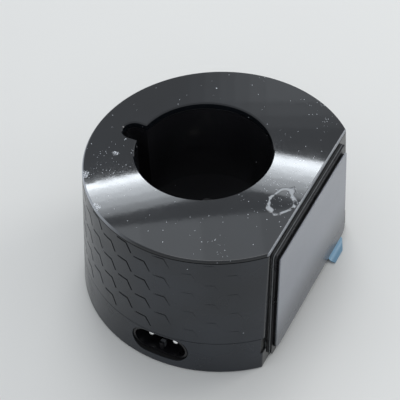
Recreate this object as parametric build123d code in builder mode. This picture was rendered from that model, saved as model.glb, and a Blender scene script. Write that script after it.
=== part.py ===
import os
from math import atan2, cos, degrees, radians, sin, sqrt

from build123d import *

os.makedirs("parts", exist_ok=True)

# A charging stand for an electric shaver: a slightly conical drum with one flat side.
# The drum's axis is Z, the table is at Z = 0, the flat side faces +X and the power inlet
# faces -Y. All sizes are in millimetres.

# Drum: the outer skin that the tray, the shell and the cover share
deck_radius = 43.0
foot_radius = 46.8
body_height = 48.6
flat_offset = 31.2
wall = 2.4
corner_radius = 0.8

# Top cover and the seam under its rim
deck_thickness = 2.4
rim_height = 0.9
rim_fillet = 0.5
rim_seam = 0.3
fit_gap = 0.15

# Dock opening: a round hole with a keyway lobe towards -X
dock_x = -6.2
dock_y = 2.2
dock_radius = 22.2
lobe_margin = 2.1
lobe_width = 7.4
lobe_y = 1.0
opening_chamfer = 0.4

# Dock cup, hung under the deck
cup_wall = 1.6
cup_floor_thickness = 2.0
flange_margin = 2.6
flange_thickness = 1.6
gasket_thickness = 0.6
gasket_margin = 0.5
ear_radius = 3.3
ear_angles = (45, 135, 225, 315)

# Base tray: the plain band, the floor and the lip that the shell stands over
skirt_clearance = 0.4
mat_thickness = 0.9
mat_inset = 1.6
floor_thickness = 1.5
band_margin = 0.55
band_seam = 0.18
tongue_thickness = 1.1
tongue_height = 2.4
notch_depth = 0.6
notch_height = 6.4
notch_width = 1.6

# Inlet: a two-pin socket for a small appliance lead
inlet_x = 0.5
inlet_width = 19.7
inlet_height = 9.5
inlet_floor_gap = 0.15
shroud_gap = 0.3
shroud_wall = 0.65
shroud_setback = 1.2
inlet_depth = 11.4
inlet_back = 2.0
pin_pitch = 8.6
pin_diameter = 2.36
pin_setback = 3.0
pin_dome = 1.05
pin_tail = 3.0
key_width = 1.4
key_height = 2.6
key_setback = 2.0
pad_setback = 3.7
seat_gap = 0.1
inlet_seal_thickness = 1.0
inlet_seal_margin = 0.5
inlet_flange_thickness = 1.6
inlet_flange_margin = 2.8
rib_thickness = 2.0
rib_width = 1.6
rib_drop = 2.0

# Honeycomb relief: bent grooves along two sides of each hexagonal cell, that get shallower
# towards the flat side between two angles from it
cell_side = 4.62
groove_width = 0.55
groove_depth = 0.4
faint_depth = 0.07
faint_angle = 78.0
full_angle = 125.0
groove_end_gap = 0.8
cell_azimuth = -91.9
cell_level = 46.8
cell_corner_margin = 1.6

# Posts of the cover and the long screws that hold the housing together
rear_post_margin = 3.8
front_post_angle = 130.6
post_margin = 0.9
post_radius = 3.0
socket_radius = 4.0
socket_height = 3.6
screw_radius = 1.25
screw_length = 12.0
screw_head_radius = 2.4
screw_head_height = 1.6
head_web = 2.0
screw_gap = 0.08
head_gap = 0.35
recess_share = 1.2
recess_width = 0.5

# Small screws: dock cup to deck, and circuit board to tray
cup_screw_radius = 1.0
cup_screw_length = 3.4
cup_screw_head_radius = 1.9
cup_screw_head_height = 1.3
board_screw_radius = 0.95
board_screw_length = 4.0
board_screw_head_radius = 1.8
board_screw_head_height = 1.2

# Charging contacts: two sprung plungers in an insulating block
contact_pitch = 8.0
contact_travel = 1.5
tip_radius = 1.3
tip_dome = 0.8
tip_reserve = 0.7
collar_radius = 1.88
collar_height = 1.35
stem_radius = 0.8
stem_length = 1.8
pin_clearance = 0.05
collar_clearance = 0.07
stop_gap = 0.03
block_length = 17.0
block_width = 10.0
block_rise = 1.0
block_web = 1.6
block_depth = 9.0
block_corner = 1.5
block_gap = 0.15
block_flange_length = 27.0
block_flange_thickness = 1.6
stake_offset = 11.0
stake_radius = 1.2
stake_head_radius = 1.9
stake_head_height = 0.8
spring_wire = 0.4
spring_turns = 6
spring_gap = 0.1
terminal_thickness = 0.8
retainer_thickness = 1.2
retainer_plug = 1.0
tab_width = 2.4
tab_thickness = 0.6
tab_drop = 1.9
terminal_room = 3.4

# Circuit board and what stands on it
board_length = 34.0
board_width = 23.5
board_margin = 1.85
board_thickness = 1.6
standoff_height = 4.0
standoff_radius = 2.2
standoff_margin_x = 2.75
standoff_margin_y = 3.0
capacitor_radius = 4.0
capacitor_height = 11.0
capacitor_bead = 0.4
capacitor_bead_level = 1.6
capacitor_margin = 0.4
capacitor_y = 6.5
choke_radius = 4.2
choke_height = 7.0
choke_waist = 1.2
choke_flange = 1.4
choke_margin = 0.4
choke_y = -5.0
chip_length = 6.0
chip_width = 5.0
chip_height = 1.6
chip_leg_pitch = 1.27
chip_leg_width = 0.4
chip_leg_reach = 1.0
chip_leg_height = 0.6
chip_offset = -4.2
chip_y = -3.0
diode_length = 4.4
diode_width = 2.7
diode_height = 2.2
diode_cap = 0.7
diode_offset = -4.2
diode_y = 6.4

# Leads inside the stand
lead_radius = 0.65
lead_bend = 1.7
lead_clearance = 1.35
lead_pad_margin = 2.75
inlet_lead_turn = 3.0
inlet_pad_margin = 4.55
inlet_pad_pitch = 4.6
inlet_pad_y = -10.0

# Ballast
ballast_edge_x = -14.5
ballast_thickness = 4.5
ballast_gap = 0.6
ballast_peg_x = -29.0
ballast_peg_y = 9.0
ballast_peg_radius = 1.8
ballast_peg_head_radius = 3.0
ballast_peg_head_height = 1.0

# Wall plate with its adhesive pad, slid onto the flat side
plate_gap = 0.1
plate_thickness = 0.9
plate_low = 0.7
plate_drop = 3.6
plate_low_margin = 5.0
plate_high_margin = 2.8
plate_corner = 1.5
stud_y = 14.0
stud_drop = 11.0
stud_neck_radius = 1.8
stud_head_radius = 3.2
stud_head_thickness = 1.5
stud_gap = 0.2
slide_travel = 8.0
entry_gap = 0.3
pocket_wall = 1.2
pad_thickness = 0.65
pad_inset = 0.7
liner_thickness = 0.4
liner_rise = 2.3
liner_drop = 2.2
liner_low_margin = 1.2
liner_high_margin = 1.4
liner_high_corner = 0.8
liner_low_corner = 2.5
pull_tab_margin = 2.1
pull_tab_width = 11.0
pull_tab_thickness = 0.3
pull_tab_overlap = 0.6
pull_tab_bend = 1.8
pull_tab_reach = 0.9
pull_tab_level = 0.5
pull_tab_slant = 4.5
pull_tab_slant_depth = 2.0

# Levels worked out from the sizes above
rim_level = body_height - rim_height
cover_bottom = body_height - deck_thickness
flange_top = cover_bottom - gasket_thickness
flange_bottom = flange_top - flange_thickness
floor_level = mat_thickness + floor_thickness
inlet_level = floor_level + inlet_floor_gap + inlet_height / 2 + inlet_seal_margin
band_top = inlet_level + inlet_height / 2 + band_margin
shell_bottom = band_top + band_seam
shell_top = rim_level - rim_seam
socket_top = floor_level + socket_height
head_seat = socket_top - head_web
board_bottom = floor_level + standoff_height
board_top = board_bottom + board_thickness
retainer_bottom = floor_level + terminal_room
block_bottom = retainer_bottom + retainer_thickness
cup_floor_level = block_bottom + block_depth
cup_bottom = cup_floor_level - cup_floor_thickness
block_top = cup_floor_level + block_rise
terminal_level = block_bottom + retainer_plug
spring_low = terminal_level + terminal_thickness
collar_top = block_top - block_web - stop_gap
spring_high = collar_top - collar_height
lead_high = cup_bottom - lead_clearance - lead_radius
plate_high = body_height - plate_drop
stud_level = plate_high - stud_drop
liner_low = plate_low + liner_rise
liner_high = plate_high - liner_drop


def radius_at(level):
    """Outer radius of the drum at a height above the table."""
    return foot_radius + (deck_radius - foot_radius) * level / body_height


def flat_half(level):
    """Half the width of the flat side at a height above the table."""
    return sqrt(radius_at(level) ** 2 - flat_offset**2)


# Places and widths worked out from the sizes above
cup_radius = dock_radius + cup_wall
lobe_tip_x = cup_wall + flange_margin + lobe_margin - radius_at(flange_bottom) + wall
half_row = cell_side * sqrt(3) / 2
skin_slope = atan2(foot_radius - deck_radius, body_height)
contact_places = [(dock_x, dock_y - contact_pitch / 2), (dock_x, dock_y + contact_pitch / 2)]
stake_places = [(dock_x, dock_y - stake_offset), (dock_x, dock_y + stake_offset)]
ear_places = [
    (
        dock_x + (cup_radius + ear_radius) * cos(radians(angle)),
        dock_y + (cup_radius + ear_radius) * sin(radians(angle)),
    )
    for angle in ear_angles
]
post_reach = radius_at(cover_bottom) - wall - post_radius - post_margin
front_post_x = post_reach * cos(radians(front_post_angle))
rear_post_x = flat_offset - wall - post_radius - rear_post_margin
post_places = [
    (x, side * sqrt(post_reach**2 - x**2)) for x in (front_post_x, rear_post_x) for side in (-1, 1)
]
board_edge_x = flat_offset - wall - board_margin
board_x = board_edge_x - board_width / 2
standoff_x = board_width / 2 - standoff_margin_x
standoff_y = board_length / 2 - standoff_margin_y
board_screw_places = [
    (board_x + x, y) for x in (-standoff_x, standoff_x) for y in (-standoff_y, standoff_y)
]
board_near_x = board_edge_x - board_width
lead_pad_x = board_near_x + lead_pad_margin
inlet_pad_x = board_near_x + inlet_pad_margin
contact_lead_x = (dock_x + block_width / 2 + board_near_x) / 2
capacitor_x = dock_x + cup_radius + capacitor_margin + capacitor_radius
choke_x = dock_x + cup_radius + choke_margin + choke_radius
ballast_peg_places = [(ballast_peg_x, -ballast_peg_y), (ballast_peg_x, ballast_peg_y)]
plate_low_half = flat_half(plate_low) - plate_low_margin
plate_high_half = flat_half(plate_high) - plate_high_margin
liner_low_half = plate_low_half - liner_low_margin
liner_high_half = plate_high_half - liner_high_margin
pull_tab_near = liner_low_half - pull_tab_margin - pull_tab_width
stud_places = [(-stud_y, stud_level), (stud_y, stud_level)]
keyhole_places = [(y, stud_level - slide_travel / 2) for y in (-stud_y, stud_y)]
entry_radius = stud_head_radius + entry_gap
pocket_depth = stud_head_thickness + 2 * stud_gap
bottom_up = (Align.CENTER, Align.CENTER, Align.MIN)


def drum(inset, low, high):
    """Solid drum with its flat side, inset from the outer skin, between two levels."""
    with BuildPart() as solid:
        with Locations((0, 0, low)):
            Cone(radius_at(low) - inset, radius_at(high) - inset, high - low, align=bottom_up)
        split(bisect_by=Plane.YZ.offset(flat_offset - inset), keep=Keep.BOTTOM)
        if inset < corner_radius:
            upright = solid.edges().filter_by(lambda e: e.bounding_box().size.Z > (high - low) / 2)
            fillet(upright, corner_radius)
    return solid.part


def dock_outline(grow=0.0):
    """Outline of the dock opening, round with its keyway lobe, grown outwards."""
    lobe_end_x = lobe_tip_x + lobe_width / 2
    with Locations((dock_x, dock_y)):
        Circle(dock_radius + grow)
    with Locations(((dock_x + lobe_end_x) / 2, lobe_y)):
        SlotCenterToCenter(dock_x - lobe_end_x, lobe_width + 2 * grow)


def inlet_plane(setback):
    """Plane facing -Y, set back from the skin at the level of the inlet's middle."""
    skin_y = -radius_at(inlet_level)
    place = (inlet_x, skin_y + setback, inlet_level)
    return Plane(origin=place, x_dir=(1, 0, 0), z_dir=(0, -1, 0))


def flat_plane(distance):
    """Plane facing +X at a distance beyond the flat side, its local X along +Y."""
    return Plane(origin=(flat_offset + distance, 0, 0), x_dir=(0, 1, 0), z_dir=(1, 0, 0))


def trapezoid(low, high, low_half, high_half):
    """Four-sided outline on the flat side, wider at its lower edge."""
    Polygon(
        (-low_half, low), (low_half, low), (high_half, high), (-high_half, high), align=None
    )


def screws(places, seat, radius, length, head_radius, head_height, shank_up=True):
    """Identical screws on one seat level, each with a cross recess in its head."""
    side = 1 if shank_up else -1
    with BuildPart() as group:
        with BuildSketch(Plane.XY.offset(seat)):
            with Locations(*places):
                Circle(radius)
        extrude(amount=side * length)
        with BuildSketch(Plane.XY.offset(seat)):
            with Locations(*places):
                Circle(head_radius)
        extrude(amount=-side * head_height)
        with BuildSketch(Plane.XY.offset(seat - side * head_height)):
            with Locations(*places):
                Rectangle(head_radius * recess_share, recess_width)
                Rectangle(recess_width, head_radius * recess_share)
        extrude(amount=side * head_height / 2, mode=Mode.SUBTRACT)
    return group


def lead(points):
    """Insulated wire along straight runs joined by tangent arcs."""
    with BuildPart() as wire:
        with BuildLine() as route:
            FilletPolyline(*points, radius=lead_bend)
        with BuildSketch(Plane(origin=route.line @ 0, z_dir=route.line % 0)):
            Circle(lead_radius)
        sweep()
    return wire.part


def save(piece, name):
    """Label a finished piece and write it as a STEP file."""
    piece.part.label = name
    export_step(piece.part, f"parts/{name}.step")


# Top cover: deck, rim, plug that centres it in the shell, and four posts
outer_cover = drum(0, rim_level, body_height)
cover_plug = drum(wall + fit_gap, cover_bottom, rim_level)
with BuildPart() as top_cover:
    add(outer_cover)
    fillet(top_cover.edges().group_by(Axis.Z)[-1], rim_fillet)
    add(cover_plug)
    with BuildSketch(Plane.XY.offset(socket_top)):
        with Locations(*post_places):
            Circle(post_radius)
    extrude(amount=cover_bottom - socket_top)
    with BuildSketch(Plane.XY.offset(flange_top)):
        with Locations(*ear_places):
            Circle(ear_radius - gasket_margin)
    extrude(amount=gasket_thickness)
    with BuildSketch(Plane.XY.offset(flange_top)):
        dock_outline()
    extrude(amount=body_height - flange_top, mode=Mode.SUBTRACT)
    deck = top_cover.faces().filter_by(GeomType.PLANE).sort_by(Axis.Z)[-1]
    chamfer(deck.inner_wires().edges(), opening_chamfer)
    with BuildSketch(Plane.XY.offset(socket_top)):
        with Locations(*post_places):
            Circle(screw_radius + screw_gap)
    extrude(amount=screw_length - head_web + screw_gap, mode=Mode.SUBTRACT)
    with BuildSketch(Plane.XY.offset(flange_top)):
        with Locations(*ear_places):
            Circle(cup_screw_radius + screw_gap)
    extrude(amount=cup_screw_length - flange_thickness + screw_gap, mode=Mode.SUBTRACT)
save(top_cover, "top_cover")


def depth_at(azimuth):
    """Depth of the honeycomb's grooves at an azimuth, less near the flat side."""
    from_flat = abs((azimuth + 180) % 360 - 180)
    share = min(1, max(0, (from_flat - faint_angle) / (full_angle - faint_angle)))
    return faint_depth + share * (groove_depth - faint_depth)


def groove_planes():
    """Planes at the bottom of the bent grooves of the honeycomb relief."""
    pitch_angle = degrees(1.5 * cell_side / radius_at((shell_bottom + shell_top) / 2))
    planes = []
    for column in range(int(360 / pitch_angle)):
        azimuth = cell_azimuth - column * pitch_angle
        level = cell_level - column * half_row
        while level < shell_top + half_row / 2:
            level += 2 * half_row
        while level > shell_bottom + half_row:
            middle = level - half_row / 2
            radius = radius_at(middle)
            x = radius * cos(radians(azimuth + pitch_angle / 2))
            y = radius * sin(radians(azimuth + pitch_angle / 2))
            reach = flat_offset - 0.75 * cell_side - cell_corner_margin
            if x < reach and level < shell_top + half_row / 2:
                tilt = cos(skin_slope)
                skin_plane = Plane(
                    origin=(x, y, middle),
                    x_dir=(-y, x, 0),
                    z_dir=(x / radius * tilt, y / radius * tilt, sin(skin_slope)),
                )
                planes.append(skin_plane.offset(-depth_at(azimuth + pitch_angle / 2)))
            level -= 2 * half_row
    return planes


# Body shell: the honeycombed wall, with keyholes in its flat side and closed pockets behind them
shell_skin = drum(0, shell_bottom, shell_top)
shell_inside = drum(wall, shell_bottom, shell_top)
rebate_inset = wall - tongue_thickness - fit_gap
rebate_top = band_top + tongue_height + fit_gap
shell_rebate = drum(rebate_inset, shell_bottom, rebate_top)
with BuildPart() as body_shell:
    add(shell_skin)
    add(shell_inside, mode=Mode.SUBTRACT)
    add(shell_rebate, mode=Mode.SUBTRACT)
    with BuildSketch(flat_plane(-wall)):
        with Locations(*keyhole_places):
            SlotCenterToCenter(slide_travel, 2 * (entry_radius + pocket_wall), rotation=90)
    extrude(amount=-pocket_depth - pocket_wall)
    with BuildSketch(flat_plane(-wall)):
        with Locations(*keyhole_places):
            SlotCenterToCenter(slide_travel, 2 * entry_radius, rotation=90)
    extrude(amount=-pocket_depth, mode=Mode.SUBTRACT)
    with BuildSketch(flat_plane(0)):
        with Locations(*keyhole_places):
            SlotCenterToCenter(slide_travel, 2 * (stud_neck_radius + stud_gap), rotation=90)
        with Locations(*[(y, stud_level - slide_travel) for y in (-stud_y, stud_y)]):
            Circle(entry_radius)
    extrude(amount=-wall, mode=Mode.SUBTRACT)
    with BuildSketch(*groove_planes()):
        with BuildLine():
            Polyline(
                (-0.75 * cell_side + groove_end_gap, half_row / 2),
                (0.25 * cell_side, half_row / 2),
                (0.75 * cell_side - groove_end_gap / 2, half_row * (groove_end_gap / cell_side - 0.5)),
            )
        trace(line_width=groove_width)
    extrude(amount=2 * groove_depth, mode=Mode.SUBTRACT)
save(body_shell, "body_shell")

# Base tray: plain band with the lip inside the shell, floor, sockets and the inlet opening
tray_skin = drum(0, skirt_clearance, band_top)
tray_recess = drum(mat_inset, skirt_clearance, mat_thickness)
tongue_skin = drum(wall - tongue_thickness, band_top, band_top + tongue_height)
tongue_inside = drum(wall, band_top, band_top + tongue_height)
with BuildPart() as tray_cavity:
    add(drum(wall, floor_level, band_top))
    with BuildSketch(inlet_plane(pad_setback)):
        Rectangle(inlet_width + 2 * inlet_flange_margin, 2 * body_height)
    extrude(amount=foot_radius, mode=Mode.SUBTRACT)
flange_setback = pad_setback + inlet_seal_thickness
rib_x = inlet_width / 2 + inlet_flange_margin - rib_width
with BuildPart() as base_tray:
    add(tray_skin)
    add(tongue_skin)
    add(tray_cavity.part, mode=Mode.SUBTRACT)
    add(tongue_inside, mode=Mode.SUBTRACT)
    add(tray_recess, mode=Mode.SUBTRACT)
    with BuildSketch(inlet_plane(pad_setback)):
        SlotOverall(inlet_width, inlet_height)
    extrude(amount=2 * pad_setback, mode=Mode.SUBTRACT)
    with BuildSketch(inlet_plane(pad_setback)):
        SlotOverall(
            inlet_width + 2 * inlet_flange_margin + 2 * seat_gap,
            inlet_height + 2 * inlet_seal_margin + 2 * seat_gap,
        )
    extrude(amount=-inlet_seal_thickness - inlet_flange_thickness, mode=Mode.SUBTRACT)
    with BuildSketch(inlet_plane(flange_setback + inlet_flange_thickness)):
        with Locations((-rib_x, floor_level - inlet_level), (rib_x, floor_level - inlet_level)):
            Rectangle(
                rib_width, band_top - rib_drop - floor_level, align=(Align.CENTER, Align.MIN)
            )
    extrude(amount=-rib_thickness)
    with BuildSketch(Plane.XY.offset(floor_level)):
        with Locations(*post_places):
            Circle(socket_radius)
    extrude(amount=socket_height)
    with BuildSketch(Plane.XY.offset(floor_level)):
        with Locations(*board_screw_places):
            Circle(standoff_radius)
    extrude(amount=standoff_height)
    with BuildSketch(Plane.XY.offset(floor_level)):
        with Locations(*ballast_peg_places):
            Circle(ballast_peg_radius)
    extrude(amount=ballast_thickness + ballast_peg_head_height)
    with BuildSketch(Plane.XY.offset(floor_level + ballast_thickness)):
        with Locations(*ballast_peg_places):
            Circle(ballast_peg_head_radius)
    extrude(amount=ballast_peg_head_height)
    with BuildSketch(Plane.XY.offset(mat_thickness)):
        with Locations(*post_places):
            Circle(screw_head_radius + head_gap)
    extrude(amount=head_seat - mat_thickness, mode=Mode.SUBTRACT)
    with BuildSketch(Plane.XY.offset(head_seat)):
        with Locations(*post_places):
            Circle(screw_radius + screw_gap)
    extrude(amount=head_web, mode=Mode.SUBTRACT)
    with BuildSketch(Plane.XY.offset(board_bottom)):
        with Locations(*board_screw_places):
            Circle(board_screw_radius + screw_gap)
    extrude(amount=-standoff_height, mode=Mode.SUBTRACT)
    with BuildSketch(Plane.XY.offset(band_top - notch_height)):
        corner_y = sqrt(radius_at(band_top) ** 2 - flat_offset**2)
        with Locations((flat_offset, -corner_y), (flat_offset, corner_y)):
            Rectangle(2 * notch_depth, 2 * notch_width)
    extrude(amount=notch_height, mode=Mode.SUBTRACT)
save(base_tray, "base_tray")

# Anti-slip mat under the floor, with holes for the screws
mat_sheet = drum(mat_inset + fit_gap, 0, mat_thickness)
with BuildPart() as anti_slip_mat:
    add(mat_sheet)
    with BuildSketch():
        with Locations(*post_places):
            Circle(screw_head_radius + head_gap)
    extrude(amount=mat_thickness, mode=Mode.SUBTRACT)
save(anti_slip_mat, "anti_slip_mat")

# Long screws from below, through the tray into the posts of the cover
base_screws = screws(
    post_places, head_seat, screw_radius, screw_length, screw_head_radius, screw_head_height
)
save(base_screws, "base_screws")

# Dock cup: the well that holds the shaver, with its flange, ears and heat stakes
with BuildPart() as dock_cup:
    with BuildSketch(Plane.XY.offset(cup_bottom)):
        dock_outline(cup_wall)
    extrude(amount=flange_top - cup_bottom)
    with BuildSketch(Plane.XY.offset(flange_bottom)):
        dock_outline(cup_wall + flange_margin)
        with Locations(*ear_places):
            Circle(ear_radius)
        with Locations(*post_places):
            Circle(post_radius + fit_gap, mode=Mode.SUBTRACT)
    extrude(amount=flange_thickness)
    with BuildSketch(Plane.XY.offset(cup_floor_level)):
        dock_outline()
    extrude(amount=flange_top - cup_floor_level, mode=Mode.SUBTRACT)
    with BuildSketch(Plane.XY.offset(cup_bottom)):
        with Locations((dock_x, dock_y)):
            RectangleRounded(
                block_width + 2 * block_gap, block_length + 2 * block_gap, block_corner + block_gap
            )
    extrude(amount=cup_floor_thickness, mode=Mode.SUBTRACT)
    with BuildSketch(Plane.XY.offset(flange_bottom)):
        with Locations(*ear_places):
            Circle(cup_screw_radius + screw_gap)
    extrude(amount=flange_thickness, mode=Mode.SUBTRACT)
    with BuildSketch(Plane.XY.offset(cup_bottom)):
        with Locations(*stake_places):
            Circle(stake_radius)
    extrude(amount=-block_flange_thickness - stake_head_height)
    with BuildSketch(Plane.XY.offset(cup_bottom - block_flange_thickness)):
        with Locations(*stake_places):
            Circle(stake_head_radius)
    extrude(amount=-stake_head_height)
save(dock_cup, "dock_cup")

# Gasket between the cup's flange and the deck
with BuildPart() as dock_gasket:
    with BuildSketch(Plane.XY.offset(flange_top)):
        dock_outline(cup_wall + flange_margin - gasket_margin)
        with Locations(*ear_places):
            Circle(ear_radius, mode=Mode.SUBTRACT)
        with Locations(*post_places):
            Circle(post_radius + fit_gap, mode=Mode.SUBTRACT)
    extrude(amount=gasket_thickness)
    with BuildSketch(Plane.XY.offset(flange_top)):
        dock_outline(gasket_margin)
    extrude(amount=gasket_thickness, mode=Mode.SUBTRACT)
save(dock_gasket, "dock_gasket")

# Screws through the cup's ears into the deck
cup_screws = screws(
    ear_places,
    flange_bottom,
    cup_screw_radius,
    cup_screw_length,
    cup_screw_head_radius,
    cup_screw_head_height,
)
save(cup_screws, "cup_screws")

# Contact block: holder in the floor of the cup, with a stepped bore for each contact
with BuildPart() as contact_block:
    with BuildSketch(Plane.XY.offset(block_bottom)):
        with Locations((dock_x, dock_y)):
            RectangleRounded(block_width, block_length, block_corner)
    extrude(amount=block_top - block_bottom)
    with BuildSketch(Plane.XY.offset(cup_bottom)):
        with Locations((dock_x, dock_y)):
            RectangleRounded(block_width, block_flange_length, block_corner)
        with Locations(*stake_places):
            Circle(stake_radius + block_gap, mode=Mode.SUBTRACT)
    extrude(amount=-block_flange_thickness)
    with BuildSketch(Plane.XY.offset(block_bottom)):
        with Locations(*contact_places):
            Circle(collar_radius + collar_clearance)
    extrude(amount=block_top - block_web - block_bottom, mode=Mode.SUBTRACT)
    with BuildSketch(Plane.XY.offset(block_top)):
        with Locations(*contact_places):
            Circle(tip_radius + pin_clearance)
    extrude(amount=-block_web, mode=Mode.SUBTRACT)
save(contact_block, "contact_block")

# Sprung contact pins, their springs and, below them, the terminals and the retainer
for side, (contact_x, contact_y) in zip(("left", "right"), contact_places):
    with BuildPart() as contact_pin:
        with Locations((contact_x, contact_y, collar_top)):
            Cylinder(tip_radius, block_top + contact_travel + tip_reserve - collar_top, align=bottom_up)
        fillet(contact_pin.edges().sort_by(Axis.Z)[-1], tip_dome)
        with Locations((contact_x, contact_y, spring_high)):
            Cylinder(collar_radius, collar_height, align=bottom_up)
        with Locations((contact_x, contact_y, spring_high - stem_length)):
            Cylinder(stem_radius, stem_length, align=bottom_up)
    save(contact_pin, f"contact_pin_{side}")

    coil_radius = collar_radius - spring_wire / 2
    coil_low = spring_low + spring_wire / 2 + spring_gap
    coil_height = spring_high - spring_low - spring_wire - 2 * spring_gap
    with BuildPart() as contact_spring:
        with BuildLine() as coil:
            Helix(
                coil_height / spring_turns,
                coil_height,
                coil_radius,
                center=(contact_x, contact_y, coil_low),
            )
        with BuildSketch(Plane(origin=coil.line @ 0, z_dir=coil.line % 0)):
            Circle(spring_wire / 2)
        sweep(is_frenet=True)
    save(contact_spring, f"contact_spring_{side}")

with BuildPart() as contact_terminals:
    with BuildSketch(Plane.XY.offset(terminal_level)):
        with Locations(*contact_places):
            Circle(collar_radius)
    extrude(amount=terminal_thickness)
    with BuildSketch(Plane.XY.offset(terminal_level)):
        with Locations(*contact_places):
            Rectangle(tab_thickness, tab_width)
    extrude(amount=-(terminal_level - retainer_bottom + tab_drop))
save(contact_terminals, "contact_terminals")

with BuildPart() as contact_retainer:
    with BuildSketch(Plane.XY.offset(retainer_bottom)):
        with Locations((dock_x, dock_y)):
            RectangleRounded(block_width, block_length, block_corner)
    extrude(amount=retainer_thickness)
    with BuildSketch(Plane.XY.offset(block_bottom)):
        with Locations(*contact_places):
            Circle(collar_radius)
    extrude(amount=retainer_plug)
    with BuildSketch(Plane.XY.offset(retainer_bottom)):
        with Locations(*contact_places):
            Rectangle(tab_thickness + 2 * pin_clearance, tab_width + 2 * pin_clearance)
    extrude(amount=retainer_thickness + retainer_plug, mode=Mode.SUBTRACT)
save(contact_retainer, "contact_retainer")

# Inlet housing: shroud with a key rib, flange and blind back
shroud_width = inlet_width - 2 * shroud_gap
shroud_height = inlet_height - 2 * shroud_gap
cavity_width = shroud_width - 2 * shroud_wall
cavity_height = shroud_height - 2 * shroud_wall
cavity_end = shroud_setback + inlet_depth
inlet_end = cavity_end + inlet_back
pin_places = [(-pin_pitch / 2, 0), (pin_pitch / 2, 0)]
with BuildPart() as inlet_housing:
    with BuildSketch(inlet_plane(shroud_setback)):
        SlotOverall(shroud_width, shroud_height)
    extrude(amount=-inlet_depth - inlet_back)
    with BuildSketch(inlet_plane(flange_setback)):
        SlotOverall(inlet_width + 2 * inlet_flange_margin, inlet_height + 2 * inlet_seal_margin)
    extrude(amount=-inlet_flange_thickness)
    with BuildSketch(inlet_plane(shroud_setback)):
        SlotOverall(cavity_width, cavity_height)
    extrude(amount=-inlet_depth, mode=Mode.SUBTRACT)
    with BuildSketch(inlet_plane(key_setback)):
        with Locations((0, -cavity_height / 2 - shroud_wall / 2)):
            Rectangle(key_width, key_height + shroud_wall / 2, align=(Align.CENTER, Align.MIN))
    extrude(amount=-(cavity_end - key_setback))
    with BuildSketch(inlet_plane(cavity_end)):
        with Locations(*pin_places):
            Circle(pin_diameter / 2 + pin_clearance)
    extrude(amount=-inlet_back, mode=Mode.SUBTRACT)
save(inlet_housing, "inlet_housing")

# Inlet pins with rounded tips, and the seal round the shroud
with BuildPart() as inlet_pins:
    with BuildSketch(inlet_plane(pin_setback)):
        with Locations(*pin_places):
            Circle(pin_diameter / 2)
    extrude(amount=-(inlet_end + pin_tail - pin_setback))
    fillet(inlet_pins.edges().group_by(Axis.Y)[0], pin_dome)
save(inlet_pins, "inlet_pins")

with BuildPart() as inlet_seal:
    with BuildSketch(inlet_plane(pad_setback)):
        SlotOverall(inlet_width + 2 * inlet_seal_margin, inlet_height + 2 * inlet_seal_margin)
        SlotOverall(shroud_width + 2 * fit_gap, shroud_height + 2 * fit_gap, mode=Mode.SUBTRACT)
    extrude(amount=-inlet_seal_thickness)
save(inlet_seal, "inlet_seal")

# Circuit board and its parts
with BuildPart() as circuit_board:
    with BuildSketch(Plane.XY.offset(board_bottom)):
        with Locations((board_x, 0)):
            Rectangle(board_width, board_length)
        with Locations(*board_screw_places):
            Circle(board_screw_radius + screw_gap, mode=Mode.SUBTRACT)
    extrude(amount=board_thickness)
save(circuit_board, "circuit_board")

board_screws = screws(
    board_screw_places,
    board_top,
    board_screw_radius,
    board_screw_length,
    board_screw_head_radius,
    board_screw_head_height,
    shank_up=False,
)
save(board_screws, "board_screws")

with BuildPart() as smoothing_capacitor:
    with Locations((capacitor_x, capacitor_y, board_top)):
        Cylinder(capacitor_radius, capacitor_height, align=bottom_up)
    fillet(smoothing_capacitor.edges().sort_by(Axis.Z)[-1], capacitor_bead)
    with Locations((capacitor_x, capacitor_y, board_top + capacitor_bead_level)):
        Torus(capacitor_radius, capacitor_bead, mode=Mode.SUBTRACT)
save(smoothing_capacitor, "smoothing_capacitor")

with BuildPart() as choke:
    with Locations((choke_x, choke_y, board_top)):
        Cylinder(choke_radius, choke_flange, align=bottom_up)
        Cylinder(choke_radius - choke_waist, choke_height, align=bottom_up)
    with Locations((choke_x, choke_y, board_top + choke_height - choke_flange)):
        Cylinder(choke_radius, choke_flange, align=bottom_up)
save(choke, "choke")

with BuildPart() as regulator_chip:
    with Locations((board_x + chip_offset, chip_y, board_top)):
        Box(chip_width, chip_length, chip_height, align=bottom_up)
        with GridLocations(chip_width + chip_leg_reach, chip_leg_pitch, 2, 4):
            Box(chip_leg_reach, chip_leg_width, chip_leg_height, align=bottom_up)
save(regulator_chip, "regulator_chip")

with BuildPart() as rectifier_diode:
    with Locations((board_x + diode_offset, diode_y, board_top)):
        Box(diode_width, diode_length, diode_height, align=bottom_up)
        Box(diode_width - diode_cap, diode_length + 2 * diode_cap, diode_height / 2, align=bottom_up)
save(rectifier_diode, "rectifier_diode")

# Leads from the inlet pins to the board, and from the board to the contact terminals
inlet_back_y = -radius_at(inlet_level) + inlet_end + pin_tail
for name, side in (("positive", -1), ("negative", 1)):
    start_x = inlet_x + side * pin_pitch / 2
    pad_x = inlet_pad_x + side * inlet_pad_pitch / 2
    wire = lead(
        [
            (start_x, inlet_back_y, inlet_level),
            (start_x, inlet_back_y + inlet_lead_turn, inlet_level),
            (start_x, inlet_back_y + inlet_lead_turn, lead_high),
            (pad_x, inlet_pad_y, lead_high),
            (pad_x, inlet_pad_y, board_top),
        ]
    )
    wire.label = f"inlet_lead_{name}"
    export_step(wire, f"parts/inlet_lead_{name}.step")

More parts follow.
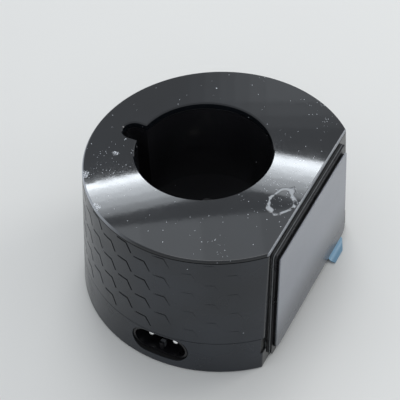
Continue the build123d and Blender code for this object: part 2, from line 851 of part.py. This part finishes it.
for side, (contact_x, contact_y) in zip(("left", "right"), contact_places):
    terminal_z = retainer_bottom - tab_drop + lead_radius
    wire = lead(
        [
            (contact_x + tab_thickness / 2, contact_y, terminal_z),
            (contact_lead_x, contact_y, terminal_z),
            (contact_lead_x, contact_y, lead_high),
            (lead_pad_x, contact_y, lead_high),
            (lead_pad_x, contact_y, board_top),
        ]
    )
    wire.label = f"contact_lead_{side}"
    export_step(wire, f"parts/contact_lead_{side}.step")

# Ballast: steel slab staked to the floor under the front half of the dock
ballast_radius = radius_at(floor_level + ballast_thickness) - wall - ballast_gap
with BuildPart() as ballast_weight:
    with BuildSketch(Plane.XY.offset(floor_level)):
        Circle(ballast_radius)
        with Locations((ballast_edge_x, 0)):
            Rectangle(
                2 * foot_radius, 2 * foot_radius, align=(Align.MIN, Align.CENTER), mode=Mode.SUBTRACT
            )
        with Locations(*post_places):
            Circle(socket_radius + ballast_gap, mode=Mode.SUBTRACT)
        with Locations(*ballast_peg_places):
            Circle(ballast_peg_radius + fit_gap, mode=Mode.SUBTRACT)
    extrude(amount=ballast_thickness)
save(ballast_weight, "ballast_weight")

# Wall plate with two headed studs that hang in the keyholes of the shell
with BuildPart() as wall_plate:
    with BuildSketch(flat_plane(plate_gap)) as plate_face:
        trapezoid(plate_low, plate_high, plate_low_half, plate_high_half)
        fillet(plate_face.vertices(), plate_corner)
    extrude(amount=plate_thickness)
    with BuildSketch(flat_plane(plate_gap)):
        with Locations(*stud_places):
            Circle(stud_neck_radius)
    extrude(amount=-(plate_gap + wall + stud_gap))
    with BuildSketch(flat_plane(-wall - stud_gap)):
        with Locations(*stud_places):
            Circle(stud_head_radius)
    extrude(amount=-stud_head_thickness)
save(wall_plate, "wall_plate")

# Adhesive pad on the wall plate, and the liner that covers it
pad_face = plate_gap + plate_thickness
liner_face = pad_face + pad_thickness
with BuildPart() as adhesive_pad:
    with BuildSketch(flat_plane(pad_face)):
        trapezoid(
            liner_low + pad_inset,
            liner_high - pad_inset,
            liner_low_half - pad_inset,
            liner_high_half - pad_inset,
        )
    extrude(amount=pad_thickness)
save(adhesive_pad, "adhesive_pad")

with BuildPart() as release_liner:
    with BuildSketch(flat_plane(liner_face)) as liner_outline:
        trapezoid(liner_low, liner_high, liner_low_half, liner_high_half)
        fillet(liner_outline.vertices().sort_by(Axis.Y)[:2], liner_low_corner)
        fillet(liner_outline.vertices().sort_by(Axis.Y)[-2:], liner_high_corner)
    extrude(amount=liner_thickness)
save(release_liner, "release_liner")

# Pull tab: soft film that comes out from behind the liner, curls out and ends in a slant
tab_plane = Plane(origin=(0, pull_tab_near, 0), x_dir=(1, 0, 0), z_dir=(0, -1, 0))
tab_x = flat_offset + liner_face - pull_tab_thickness / 2
tab_end_x = tab_x + pull_tab_bend + pull_tab_reach
tab_far_y = pull_tab_near + pull_tab_width
with BuildPart() as pull_tab:
    with BuildSketch(tab_plane):
        with BuildLine():
            hang = Line((tab_x, liner_low + pull_tab_overlap), (tab_x, pull_tab_level + pull_tab_bend))
            curl = TangentArc(
                hang @ 1, (tab_x + pull_tab_bend, pull_tab_level), tangent=hang % 1
            )
            Line(curl @ 1, (tab_end_x, pull_tab_level))
        trace(line_width=pull_tab_thickness)
    extrude(amount=-pull_tab_width)
    with BuildSketch():
        Polygon(
            (tab_end_x, tab_far_y - pull_tab_slant),
            (tab_end_x, tab_far_y),
            (tab_end_x - pull_tab_slant_depth, tab_far_y),
            align=None,
        )
    extrude(amount=pull_tab_level + pull_tab_bend, mode=Mode.SUBTRACT)
save(pull_tab, "pull_tab")
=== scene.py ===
from math import atan, cos, pi, radians, sin

import bpy
from mathutils import Matrix, Vector


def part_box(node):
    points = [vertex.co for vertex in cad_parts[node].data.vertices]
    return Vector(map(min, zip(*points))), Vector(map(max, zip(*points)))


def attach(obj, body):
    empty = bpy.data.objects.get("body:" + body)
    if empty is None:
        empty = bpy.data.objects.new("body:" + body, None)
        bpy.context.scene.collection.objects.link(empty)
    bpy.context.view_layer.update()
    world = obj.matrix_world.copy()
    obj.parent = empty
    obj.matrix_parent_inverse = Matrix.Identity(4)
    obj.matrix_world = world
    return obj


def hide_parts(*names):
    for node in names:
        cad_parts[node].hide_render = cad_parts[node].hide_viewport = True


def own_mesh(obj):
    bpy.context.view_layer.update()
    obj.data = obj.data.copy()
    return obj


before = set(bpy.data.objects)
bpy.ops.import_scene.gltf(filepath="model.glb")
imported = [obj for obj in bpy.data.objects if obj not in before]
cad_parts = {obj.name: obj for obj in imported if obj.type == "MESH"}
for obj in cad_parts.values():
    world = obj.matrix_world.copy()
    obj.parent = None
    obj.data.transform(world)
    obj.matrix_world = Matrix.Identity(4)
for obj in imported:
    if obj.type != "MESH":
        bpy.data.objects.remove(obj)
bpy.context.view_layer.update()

# The charging stand in metres, in the CAD frame: drum axis on Z, table at Z = 0,
# flat side towards +X, inlet towards -Y.
MM = 0.001

# Sizes of the CAD part that the looks refer to, in millimetres
DECK_LEVEL = 48.6
DECK_RADIUS = 43.0
FOOT_RADIUS = 46.8
FLAT_SIDE = 31.2


def metres(*values):
    return tuple(value * MM for value in values)


def shade(color, factor):
    return tuple(min(1, c * factor) for c in color)


# Node helpers
class Nodes:
    """Builds one procedural material around a Principled shader."""

    def __init__(self, name, color, roughness, **sockets):
        self.material = bpy.data.materials.new(name)
        self.material.use_nodes = True
        self.material.diffuse_color = (*color, 1)
        self.tree = self.material.node_tree
        self.shader = self.tree.nodes["Principled BSDF"]
        sockets = {"Base Color": (*color, 1), "Roughness": roughness, **sockets}
        for socket, value in sockets.items():
            self.shader.inputs[socket].default_value = value
        self.coordinates = self.tree.nodes.new("ShaderNodeTexCoord").outputs["Object"]

    def link(self, output, socket):
        """Feeds one of the shader's own sockets."""
        self.tree.links.new(output, self.shader.inputs[socket])

    def fill(self, sockets, values):
        """Links or sets each socket. None leaves it as it is."""
        for socket, value in zip(sockets, values):
            if isinstance(value, bpy.types.NodeSocket):
                self.tree.links.new(value, socket)
            elif value is not None:
                socket.default_value = value

    def node(self, kind, **inputs):
        made = self.tree.nodes.new("ShaderNode" + kind)
        self.fill([made.inputs[key] for key in inputs], inputs.values())
        return made

    def noise(self, size_mm, detail=2, rough=0.5, output="Fac"):
        """Noise with features about size_mm across."""
        scale = 1 / (size_mm * MM)
        made = self.node(
            "TexNoise", Vector=self.coordinates, Scale=scale, Detail=detail, Roughness=rough
        )
        return made.outputs[output]

    def cells(self, size_mm):
        """Distance to random points about size_mm apart, and a random colour for each."""
        made = self.node("TexVoronoi", Vector=self.coordinates, Scale=1 / (size_mm * MM))
        return made.outputs["Distance"], made.outputs["Color"]

    def math(self, operation, *values):
        made = self.tree.nodes.new("ShaderNodeMath")
        made.operation = operation
        self.fill(made.inputs, values)
        return made.outputs[0]

    def product(self, first, *others):
        for other in others:
            first = self.math("MULTIPLY", first, other)
        return first

    def highest(self, first, *others):
        for other in others:
            first = self.math("MAXIMUM", first, other)
        return first

    def vector(self, operation, *values):
        made = self.tree.nodes.new("ShaderNodeVectorMath")
        made.operation = operation
        self.fill(made.inputs, values)
        return made.outputs["Value" if operation in ("DISTANCE", "LENGTH") else "Vector"]

    def ramp(self, value, low, high, to_low=0.0, to_high=1.0):
        """Value mapped from one range to another, clamped and smooth."""
        made = self.tree.nodes.new("ShaderNodeMapRange")
        made.interpolation_type = "SMOOTHSTEP"
        self.fill(made.inputs, (value, low, high, to_low, to_high))
        return made.outputs[0]

    def mix(self, factor, first, second):
        """Colour between two colours."""
        made = self.tree.nodes.new("ShaderNodeMix")
        made.data_type = "RGBA"
        first, second = ((*c, 1) if isinstance(c, tuple) else c for c in (first, second))
        self.fill((made.inputs[0], made.inputs[6], made.inputs[7]), (factor, first, second))
        return made.outputs[2]

    def mix_value(self, factor, first, second):
        """Number between two numbers."""
        made = self.tree.nodes.new("ShaderNodeMix")
        self.fill((made.inputs[0], made.inputs[2], made.inputs[3]), (factor, first, second))
        return made.outputs[0]

    def bump(self, height, distance_mm, strength, under=None):
        """Relief on the surface, or on another relief that lies under it."""
        distance = distance_mm * MM
        made = self.node("Bump", Height=height, Strength=strength, Distance=distance, Normal=under)
        self.link(made.outputs[0], "Normal")
        return made.outputs[0]


# Places on the part, as masks and measures
def axis(m, index):
    """Object coordinate along X, Y or Z, in metres."""
    return m.node("SeparateXYZ", Vector=m.coordinates).outputs[index]


def off_axis(m):
    """Distance from the drum's axis, in metres."""
    return m.vector("LENGTH", m.vector("MULTIPLY", m.coordinates, (1, 1, 0)))


def inside(m, centre_mm, half_mm):
    """One inside an upright box, else zero."""
    mask = 1.0
    for index, (centre, half) in enumerate(zip(centre_mm, half_mm)):
        away = m.math("ABSOLUTE", m.math("SUBTRACT", axis(m, index), centre * MM))
        mask = m.product(mask, m.math("LESS_THAN", away, half * MM))
    return mask


def near_on_deck(m, x_mm, y_mm, radius_mm):
    """One at a point of the deck, falling to zero at a distance from it."""
    away = m.vector("DISTANCE", m.coordinates, metres(x_mm, y_mm, DECK_LEVEL))
    return m.ramp(away, radius_mm * MM, 0.0)


def dust(m, size_mm, share, radius, cloud):
    """Mask of scattered round specks, as thick as the cloud mask says.

    Their radius is given in cells of size_mm, and varies from 0.5 to 1.2 times itself."""
    distance, color = m.cells(size_mm)
    pick = m.node("SeparateColor", Color=color).outputs
    reach = m.math("MULTIPLY_ADD", pick[1], radius * 0.7, radius * 0.5)
    spot = m.math("LESS_THAN", distance, reach)
    limit = m.math("SUBTRACT", 1.0, m.product(cloud, share))
    return m.product(spot, m.math("GREATER_THAN", pick[0], limit))


# Kinds of material
SPECKS = (0.62, 0.65, 0.69)
# colour of painted shade, for the shade in the drum's gap by the plate and in its grooves
PAINTED_SHADE_BLACK = (0.0015, 0.0015, 0.0015)
# colour of a painted highlight on the plate's edge by the drum
PLATE_EDGE_HIGHLIGHT = (0.19, 0.195, 0.20)
# colour of a painted highlight on the inlet's key rib
RIB_HIGHLIGHT = (0.10, 0.105, 0.11)
LINER_DUST = (0.75, 0.78, 0.80)


def gloss_plastic(name, color, roughness, specks=None):
    """Polished black moulding: faint orange peel, smears in the gloss and a share of specks."""
    m = Nodes(name, color, roughness, IOR=1.5)
    smear = m.noise(9, detail=4, rough=0.6)
    m.gloss = m.ramp(smear, 0.35, 0.75, roughness * 0.9, roughness * 1.3)
    m.link(m.gloss, "Roughness")
    m.tint = m.mix(m.ramp(m.noise(22), 0.3, 0.7), color, shade(color, 1.5))
    if specks:
        cloud = m.ramp(m.noise(14), 0.42, 0.72)
        speck = dust(m, size_mm=1.3, share=specks, radius=0.16, cloud=cloud)
        m.tint = m.mix(speck, m.tint, SPECKS)
    m.link(m.tint, "Base Color")
    m.peeled = m.bump(m.noise(3.5), distance_mm=0.006, strength=0.4)
    return m


def wall_plastic(name, color, roughness):
    """The drum's moulding, glossier on its flat side and dull in its grooves, with painted shade:
    its flat side and its groove floors are coloured near black for the shade in the gap by the
    plate and in the grooves.
    """
    m = gloss_plastic(name, color, roughness, specks=0.004)
    flat = m.ramp(axis(m, 0), (FLAT_SIDE - 0.08) * MM, (FLAT_SIDE - 0.02) * MM)
    taper = (DECK_RADIUS - FOOT_RADIUS) / DECK_LEVEL
    skin = m.math("MULTIPLY_ADD", axis(m, 2), taper, FOOT_RADIUS * MM)
    sunk = m.ramp(m.math("SUBTRACT", skin, off_axis(m)), 0.05 * MM, 0.18 * MM)
    groove = m.product(sunk, m.math("LESS_THAN", axis(m, 0), (FLAT_SIDE - 0.2) * MM))
    # painted shade: the flat side and the groove floors are coloured near black for the shade that
    # falls there
    m.link(m.mix(m.highest(flat, groove), m.tint, PAINTED_SHADE_BLACK), "Base Color")
    m.link(m.mix_value(groove, m.mix_value(flat, m.gloss, 0.04), 0.55), "Roughness")
    return m


def grained(name, color, roughness, grain_mm=0.35, depth_mm=0.02, spread=0.35):
    """Matt moulding or sheet: fine grain in colour, gloss and relief."""
    m = Nodes(name, color, roughness)
    grain = m.noise(grain_mm, detail=3, rough=0.6)
    large = m.noise(7, detail=3)
    mottle = m.math("MULTIPLY_ADD", grain, 0.6, m.product(large, 0.4))
    m.tint = m.mix(mottle, shade(color, 1 - spread), shade(color, 1 + spread))
    m.link(m.tint, "Base Color")
    m.link(m.ramp(large, 0.3, 0.7, roughness * 0.85, min(1, roughness * 1.15)), "Roughness")
    m.bump(grain, depth_mm, strength=0.7)
    return m


def metal(name, color, roughness):
    """Bright metal with fine drawn lines and slight tarnish."""
    m = Nodes(name, color, roughness, Metallic=1.0)
    line = m.noise(0.12, detail=3, rough=0.7)
    stain = m.noise(2.5, detail=4)
    m.link(m.mix(m.ramp(stain, 0.45, 0.75), color, shade(color, 0.8)), "Base Color")
    m.link(m.ramp(stain, 0.3, 0.7, roughness * 0.8, roughness * 1.5), "Roughness")
    m.bump(line, distance_mm=0.004, strength=0.5)
    return m


def plate_plastic(name, color, roughness):
    """Grained black plate whose edge next to the drum is painted paler, a painted highlight for
    the light that this edge catches.
    """
    m = grained(name, color, roughness, grain_mm=0.5, depth_mm=0.01)
    lit_edge = m.ramp(axis(m, 0), (FLAT_SIDE + 0.52) * MM, (FLAT_SIDE + 0.35) * MM)
    # painted highlight: the plate's edge by the drum is coloured paler for the light it catches
    m.link(m.mix(lit_edge, m.tint, PLATE_EDGE_HIGHLIGHT), "Base Color")
    return m


def inlet_plastic(name, color, roughness):
    """Black socket whose key rib is painted paler, a painted highlight for the light the rib
    catches.
    """
    m = grained(name, color, roughness)
    lit_rib = inside(m, centre_mm=(0.5, -42.9, 5.45), half_mm=(0.8, 0.6, 1.25))
    # painted highlight: the key rib is coloured paler for the light it catches
    m.link(m.mix(lit_rib, m.tint, RIB_HIGHLIGHT), "Base Color")
    return m


def liner_film(name, color, roughness):
    """Smooth grey sheet with dust along its near edge, painted darker towards its lower edge as
    painted shade.
    """
    m = grained(name, color, roughness, grain_mm=3.0, depth_mm=0.004, spread=0.05)
    low = m.ramp(axis(m, 2), 24 * MM, 5 * MM)
    near_edge = m.ramp(axis(m, 1), -27 * MM, -29.5 * MM)
    cloud = m.highest(near_edge, m.product(low, 0.2))
    speck = dust(m, size_mm=0.8, share=0.5, radius=0.22, cloud=cloud)
    # painted shade: the sheet's colour darkens towards its lower edge, where shade falls near the
    # table
    shaded = m.mix(low, m.tint, shade(color, 0.42))
    m.link(m.mix(speck, shaded, LINER_DUST), "Base Color")
    return m


# The deck's own dirt, and a painted highlight on its rim: places in millimetres on the deck
DUST_CLUSTERS = (  # x, y, radius, density
    (-30, -17, 15, 1.0),
    (26, -2, 24, 1.0),
    (26, 34, 16, 0.55),
    (16, -31, 20, 0.2),
)
BLOTS = (  # x, y, radius
    (-35.3, -23.6, 3.1),
    (-25.0, -34.8, 3.2),
    (-31.0, -11.0, 2.0),
)
DECK_DUST = (0.66, 0.69, 0.73)
DRIED_WATER = (0.70, 0.73, 0.76)
# colour of a painted highlight on the deck's rim
RIM_HIGHLIGHT = (0.42, 0.44, 0.47)


def water_ring(m):
    """Mask of a dried ring of water, an oval that wavers and is broken in places."""
    waver = m.vector("MULTIPLY", m.noise(5, output="Color"), metres(4.5, 4.5, 0))
    bent = m.vector("MULTIPLY_ADD", m.coordinates, (1.2, 0.8, 1.0), waver)
    away = m.vector("DISTANCE", bent, metres(33.1, -4.3, DECK_LEVEL))
    off_line = m.math("ABSOLUTE", m.math("SUBTRACT", away, 4.4 * MM))
    ring = m.ramp(off_line, 0.7 * MM, 0.3 * MM)
    return m.product(ring, m.ramp(m.noise(2.4), 0.36, 0.46))


def rim_highlight(m):
    """Mask of the deck's paler edge, a painted highlight: the near left of its round side, and its
    flat side.
    """
    outer = m.ramp(off_axis(m), (DECK_RADIUS - 0.55) * MM, (DECK_RADIUS - 0.25) * MM)
    round_edge = m.product(outer, near_on_deck(m, -32, -28, 32))
    flat_edge = m.ramp(axis(m, 0), (FLAT_SIDE - 0.55) * MM, (FLAT_SIDE - 0.3) * MM)
    return m.highest(round_edge, m.product(flat_edge, 0.45))


def deck_plastic(name, color, roughness):
    """The polished deck: clusters of fine dust, blots, drops, a ring of water and a painted
    highlight on its rim.
    """
    m = gloss_plastic(name, color, roughness)
    clusters = [m.product(near_on_deck(m, x, y, r), share) for x, y, r, share in DUST_CLUSTERS]
    cloud = m.math("MULTIPLY_ADD", m.highest(*clusters), 0.94, 0.06)
    patchy = m.product(cloud, m.ramp(m.noise(4), 0.35, 0.62, 0.25, 1.0))
    fine = dust(m, size_mm=0.55, share=0.48, radius=0.22, cloud=patchy)
    for x, y, radius in BLOTS:
        crumbs = m.ramp(m.noise(0.42, detail=4, rough=0.7), 0.44, 0.58)
        blot = m.product(near_on_deck(m, x, y, radius), crumbs)
        fine = m.highest(fine, m.math("GREATER_THAN", blot, 0.36))
    drops = dust(m, size_mm=2.6, share=0.30, radius=0.12, cloud=patchy)
    speck = m.highest(fine, drops)
    ring = water_ring(m)
    pale = m.mix(m.product(speck, 0.85), m.tint, DECK_DUST)
    pale = m.mix(m.product(ring, 0.4), pale, DRIED_WATER)
    # painted highlight: the rim's edge is coloured paler for the light that its rounding catches
    pale = m.mix(rim_highlight(m), pale, RIM_HIGHLIGHT)
    m.link(pale, "Base Color")
    m.link(m.mix_value(m.highest(speck, ring), m.gloss, 0.3), "Roughness")
    m.bump(m.highest(drops, ring), distance_mm=0.10, strength=0.7, under=m.peeled)
    return m


# Colours that several nodes have
BLACK = (0.0118, 0.0144, 0.0190)
ZINC = (0.62, 0.62, 0.60)
NICKEL = (0.83, 0.79, 0.70)
SPRING_WIRE = (0.6, 0.6, 0.6)
RUBBER = (0.02, 0.02, 0.02)

# One material for each CAD node: its name, colour and roughness, and for some of the grained
# ones the grain's size and depth in millimetres and its spread of tone
materials = {
    "top_cover": deck_plastic("polished_deck", (0.0045, 0.0055, 0.0070), 0.036),
    "body_shell": wall_plastic("shell_black", BLACK, 0.22),
    "base_tray": wall_plastic("tray_black", BLACK, 0.24),
    "dock_cup": gloss_plastic("cup_black", (0.008, 0.008, 0.009), 0.18, specks=0.02),
    "anti_slip_mat": grained("mat_rubber", (0.03, 0.03, 0.03), 0.75, 0.5, 0.05),
    "base_screws": metal("screw_zinc", ZINC, 0.3),
    "cup_screws": metal("small_screw_zinc", ZINC, 0.3),
    "board_screws": metal("board_screw_zinc", ZINC, 0.3),
    "dock_gasket": grained("gasket_rubber", RUBBER, 0.7),
    "contact_block": grained("block_black", (0.018, 0.018, 0.020), 0.42),
    "contact_pin_left": metal("left_pin_nickel", NICKEL, 0.16),
    "contact_pin_right": metal("right_pin_nickel", NICKEL, 0.16),
    "contact_spring_left": metal("left_spring_wire", SPRING_WIRE, 0.25),
    "contact_spring_right": metal("right_spring_wire", SPRING_WIRE, 0.25),
    "contact_terminals": metal("terminal_brass", (0.80, 0.62, 0.30), 0.28),
    "contact_retainer": grained("retainer_pale", (0.55, 0.55, 0.52), 0.5),
    "inlet_housing": inlet_plastic("inlet_black", (0.004, 0.004, 0.005), 0.30),
    "inlet_pins": metal("inlet_pin_nickel", (0.95, 0.95, 0.94), 0.16),
    "inlet_seal": grained("inlet_seal_rubber", RUBBER, 0.7),
    "circuit_board": grained("board_green", (0.03, 0.20, 0.07), 0.35),
    "smoothing_capacitor": grained("capacitor_sleeve", (0.05, 0.06, 0.12), 0.3, 0.6, 0.01),
    "choke": grained("choke_ferrite", (0.06, 0.055, 0.05), 0.6),
    "regulator_chip": grained("chip_resin", (0.03, 0.03, 0.03), 0.55),
    "rectifier_diode": grained("diode_resin", (0.04, 0.04, 0.04), 0.55),
    "inlet_lead_positive": grained("lead_red", (0.45, 0.03, 0.03), 0.45),
    "inlet_lead_negative": grained("lead_black", (0.02, 0.02, 0.02), 0.45),
    "contact_lead_left": grained("lead_white", (0.65, 0.65, 0.62), 0.45),
    "contact_lead_right": grained("lead_blue", (0.04, 0.10, 0.45), 0.45),
    "ballast_weight": metal("ballast_steel", (0.22, 0.22, 0.23), 0.55),
    "wall_plate": plate_plastic("plate_black", (0.006, 0.006, 0.007), 0.30),
    "adhesive_pad": grained("pad_foam", (0.012, 0.012, 0.013), 0.85, 0.6, 0.12),
    "release_liner": liner_film("liner_grey", (0.235, 0.247, 0.275), 0.22),
    "pull_tab": grained("tab_blue", (0.183, 0.328, 0.447), 0.4, 1.2, 0.01, 0.08),
}
for node, built in materials.items():
    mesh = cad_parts[node].data
    mesh.materials.clear()
    mesh.materials.append(built.material)

# Contact springs, wound in the place of their CAD nodes
WIRE_RADIUS = 0.2 * MM
TURNS = 6
STEPS = 24  # of one turn
CORNERS = 10  # of the wire's section


def coil(side):
    node = f"contact_spring_{side}"
    low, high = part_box(node)
    centre = (low + high) / 2
    radius = (high.x - low.x) / 2 - WIRE_RADIUS
    rise = (high.z - low.z - 2 * WIRE_RADIUS) / (TURNS * STEPS)
    tilt = atan(rise * STEPS / (2 * pi * radius))
    verts, faces = [], []
    for step in range(TURNS * STEPS + 1):
        angle = 2 * pi * step / STEPS
        outwards = Vector((cos(angle), sin(angle), 0))
        across = Vector((sin(angle) * sin(tilt), -cos(angle) * sin(tilt), cos(tilt)))
        level = low.z + WIRE_RADIUS + rise * step
        middle = Vector((centre.x, centre.y, level)) + outwards * radius
        for corner in range(CORNERS):
            around = 2 * pi * corner / CORNERS
            sideways, upwards = WIRE_RADIUS * cos(around), WIRE_RADIUS * sin(around)
            verts.append(middle + outwards * sideways + across * upwards)
    for step in range(TURNS * STEPS):
        here, there = step * CORNERS, (step + 1) * CORNERS
        for corner in range(CORNERS):
            following = (corner + 1) % CORNERS
            faces.append((here + corner, there + corner, there + following, here + following))
    last = TURNS * STEPS * CORNERS
    faces.append(tuple(range(CORNERS)))
    faces.append(tuple(range(last, last + CORNERS))[::-1])
    mesh = bpy.data.meshes.new(f"spring_{side}")
    mesh.from_pydata(verts, [], faces)
    mesh.update()
    for face in mesh.polygons:
        face.use_smooth = len(face.vertices) == 4  # the wire's ends are flat
    mesh.materials.append(materials[node].material)
    wound = bpy.data.objects.new(f"spring_{side}", mesh)
    bpy.context.scene.collection.objects.link(wound)
    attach(wound, "stand")
    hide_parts(node)
    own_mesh(wound)


for side in ("left", "right"):
    coil(side)

# Camera, fitted to the stand's outlines in the photo
PHOTO_PX = 400
FOCAL_PX = 1300
SENSOR_MM = 36
AZIMUTH, ELEVATION, ROLL = radians(28.68), radians(45.686), radians(-2.766)
BEHIND, ASIDE, ABOVE = 0.4443, 0.00740, 0.02115
back = Vector((sin(AZIMUTH) * cos(ELEVATION), -cos(AZIMUTH) * cos(ELEVATION), sin(ELEVATION)))
level = Vector((cos(AZIMUTH), sin(AZIMUTH), 0))
upright = back.cross(level)
right = level * cos(ROLL) + upright * sin(ROLL)
up = upright * cos(ROLL) - level * sin(ROLL)
place = back * BEHIND - right * ASIDE + up * ABOVE
camera_data = bpy.data.cameras.new("camera")
camera_data.sensor_width = SENSOR_MM
camera_data.lens = SENSOR_MM * FOCAL_PX / PHOTO_PX
camera_data.clip_start = 0.01
camera = bpy.data.objects.new("camera", camera_data)
camera.matrix_world = Matrix.Translation(place) @ Matrix((right, up, back)).transposed().to_4x4()
bpy.context.scene.collection.objects.link(camera)
bpy.context.scene.camera = camera

# Floor
FLOOR = (0.72, 0.715, 0.688)
FLOOR_SIZE = 24
bpy.ops.mesh.primitive_plane_add(size=FLOOR_SIZE, location=(0, 0, 0))
floor = bpy.context.object
floor.name = "floor"
ground = Nodes("floor_pale", FLOOR, 0.5)
ground.link(ground.mix(ground.noise(120), shade(FLOOR, 0.97), shade(FLOOR, 1.02)), "Base Color")
floor.data.materials.append(ground.material)

# Soft studio light
SKY = (0.80, 0.835, 0.885, 1)
SKY_STRENGTH = 0.88
world = bpy.data.worlds.new("world")
bpy.context.scene.world = world
world.use_nodes = True
background = world.node_tree.nodes["Background"].inputs
background["Color"].default_value = SKY
background["Strength"].default_value = SKY_STRENGTH


def area_lamp(name, width, height, watts, color=(1, 1, 1)):
    """Rectangular lamp that shines along its own -Z."""
    data = bpy.data.lights.new(name, "AREA")
    data.shape = "RECTANGLE"
    data.size, data.size_y = width, height
    data.energy = watts
    data.color = color
    made = bpy.data.objects.new(name, data)
    bpy.context.scene.collection.objects.link(made)
    return made


for name, spot, width, watts in (
    ("key", (-0.22, 0.58, 1.4), 0.6, 3.4),
    ("side", (0.45, 0.55, 0.5), 0.3, 1.3),
):
    lamp = area_lamp(name, width, width, watts)
    lamp.location = spot
    lamp.rotation_euler = (-Vector(spot)).to_track_quat("-Z", "Y").to_euler()

# Reflections on the deck: strips of light, placed by pixels of the photo and each at a reach in
# metres beyond the deck. A lamp hides neither the sky nor another lamp, so the radiance of a
# strip comes on top of theirs.
STRIP_COLOR = (0.94, 1.0, 1.06)


def mirrored(column, row, reach):
    """Where a pixel of the photo meets the deck, and the point that is mirrored there."""
    centre = PHOTO_PX / 2
    aside, above = right * (column - centre) / FOCAL_PX, up * (centre - row) / FOCAL_PX
    ray = (aside + above - back).normalized()
    touch = place + ray * ((DECK_LEVEL * MM - place.z) / ray.z)
    return touch, touch + Vector((ray.x, ray.y, -ray.z)) * reach


def deck_strip(name, start, end, thick_px, reach, radiance):
    """Lamp that is mirrored as a strip from start to end, and from there down by thick_px."""
    column, row = (start[0] + end[0]) / 2, (start[1] + end[1]) / 2
    touch, middle = mirrored(column, row, reach)
    facing = (touch - middle).normalized()
    across = mirrored(*end, reach)[1] - mirrored(*start, reach)[1]
    across -= facing * across.dot(facing)
    x, z = across.normalized(), -facing
    rise = mirrored(column, row + thick_px, reach)[1] - middle
    rise -= facing * rise.dot(facing) + x * rise.dot(x)
    width, height = across.length, rise.length
    lamp = area_lamp(name, width, height, radiance * pi * width * height, STRIP_COLOR)
    turned = Matrix((x, z.cross(x), z)).transposed().to_4x4()
    lamp.matrix_world = Matrix.Translation(middle + rise / 2) @ turned


# The window, on both sides of the dock: the ends of its upper edge, and the steps in which it
# fades downwards, each with its height in pixels and its radiance
WINDOW_REACH = 0.6
WINDOW = (
    ("left", (40, 194), (215, 157), ((7, 22), (6, 12), (8, 8.4), (8, 5.6), (8, 3))),
    ("right", (217, 143.5), (370, 171.6), ((10, 19), (6, 13), (7, 8.5), (9, 5), (8, 3))),
)
for side, (left_x, left_y), (right_x, right_y), steps in WINDOW:
    below = 0
    for index, (thick, radiance) in enumerate(steps):
        start, end = (left_x, left_y + below), (right_x, right_y + below)
        deck_strip(f"window_{side}_{index}", start, end, thick, WINDOW_REACH, radiance)
        below += thick

# The ceiling in front of it, in columns that get darker to the right
CEILING_REACH = 0.62
CEILING_LEFT, CEILING_WIDTH, CEILING_TOP, CEILING_HEIGHT = 20, 60, 238, 90
for index, radiance in enumerate((1.36, 1.3, 1.12, 0.92, 0.75, 0.65)):
    left_x = CEILING_LEFT + CEILING_WIDTH * index
    start, end = ((x, CEILING_TOP - x / 10) for x in (left_x, left_x + CEILING_WIDTH))
    deck_strip(f"ceiling_{index}", start, end, CEILING_HEIGHT, CEILING_REACH, radiance)

# The far side of the room, in columns that get brighter to the right and fade downwards
FAR_REACH = 0.64
FAR_EDGES = (190, 205, 220, 235, 250, 265, PHOTO_PX)
FAR_ROWS = ((50, 54, 1.0), (104, 12, 0.6), (116, 12, 0.3))  # row, height, share of radiance
for index, radiance in enumerate((0.06, 0.15, 0.26, 0.38, 0.50, 0.60)):
    left_x, right_x = FAR_EDGES[index : index + 2]
    for row, thick, share in FAR_ROWS:
        start, end = (left_x, row), (right_x, row)
        deck_strip(f"far_{index}_{row}", start, end, thick, FAR_REACH, radiance * share)

bpy.context.scene.view_settings.view_transform = "Standard"
